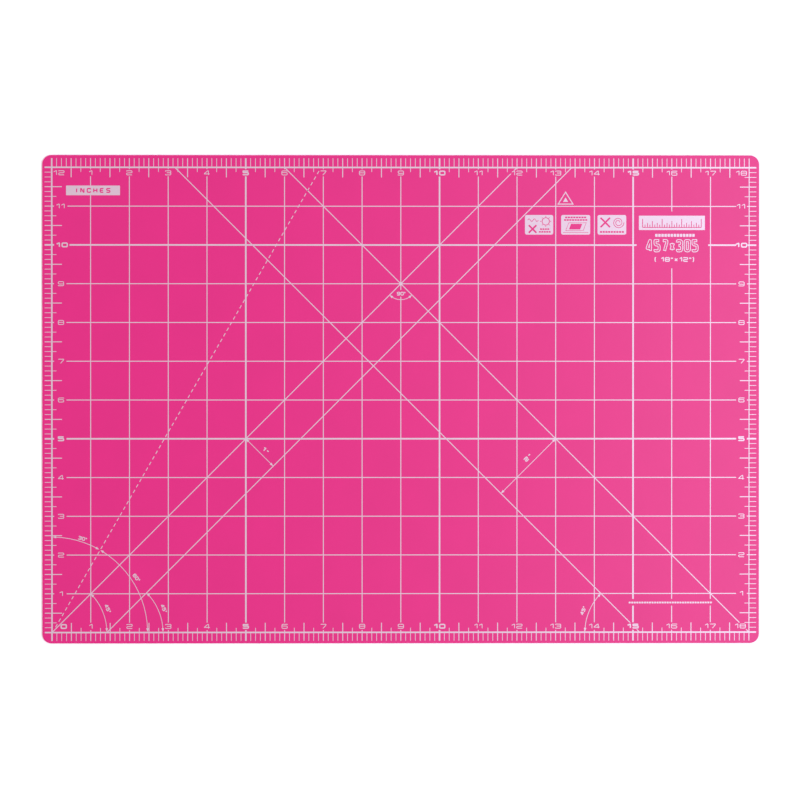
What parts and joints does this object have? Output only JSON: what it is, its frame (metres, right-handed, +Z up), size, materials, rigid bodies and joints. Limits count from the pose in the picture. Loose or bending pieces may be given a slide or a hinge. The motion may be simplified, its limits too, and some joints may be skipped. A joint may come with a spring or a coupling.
{
  "type": "self-healing cutting mat",
  "caption": "Thin rectangular self-healing cutting mat in laminated plies, printed with an inch grid, edge rulers, angle guides and numerals.",
  "frame": {"origin": "centre of the mat's underside, on the surface it lies on", "axes": "+X along the long side to the right, +Y along the short side away from the user, +Z up out of the printed face"},
  "size_m": [0.47, 0.32, 0.0016],
  "materials": {
    "skin_vinyl": "matt, fine grain",
    "core_vinyl": "matt cut edge",
    "print_ink": "satin screen print"
  },
  "bodies": {
    "root": {"bottom_ply": "skin_vinyl", "core_ply": "core_vinyl", "top_ply": "skin_vinyl", "front_ruler_ink": "print_ink", "back_ruler_ink": "print_ink", "left_ruler_ink": "print_ink", "right_ruler_ink": "print_ink", "inch_grid_ink": "print_ink", "column_1_back_end_ink": "print_ink", "column_15_front_end_ink": "print_ink", "column_16_front_end_ink": "print_ink", "column_17_front_end_ink": "print_ink", "unit_plate_ink": "print_ink", "title_plate_ink": "print_ink", "care_panel_left_ink": "print_ink", "care_panel_middle_ink": "print_ink", "care_panel_right_ink": "print_ink", "triangle_mark_ink": "print_ink"}
  },
  "joints": []
}
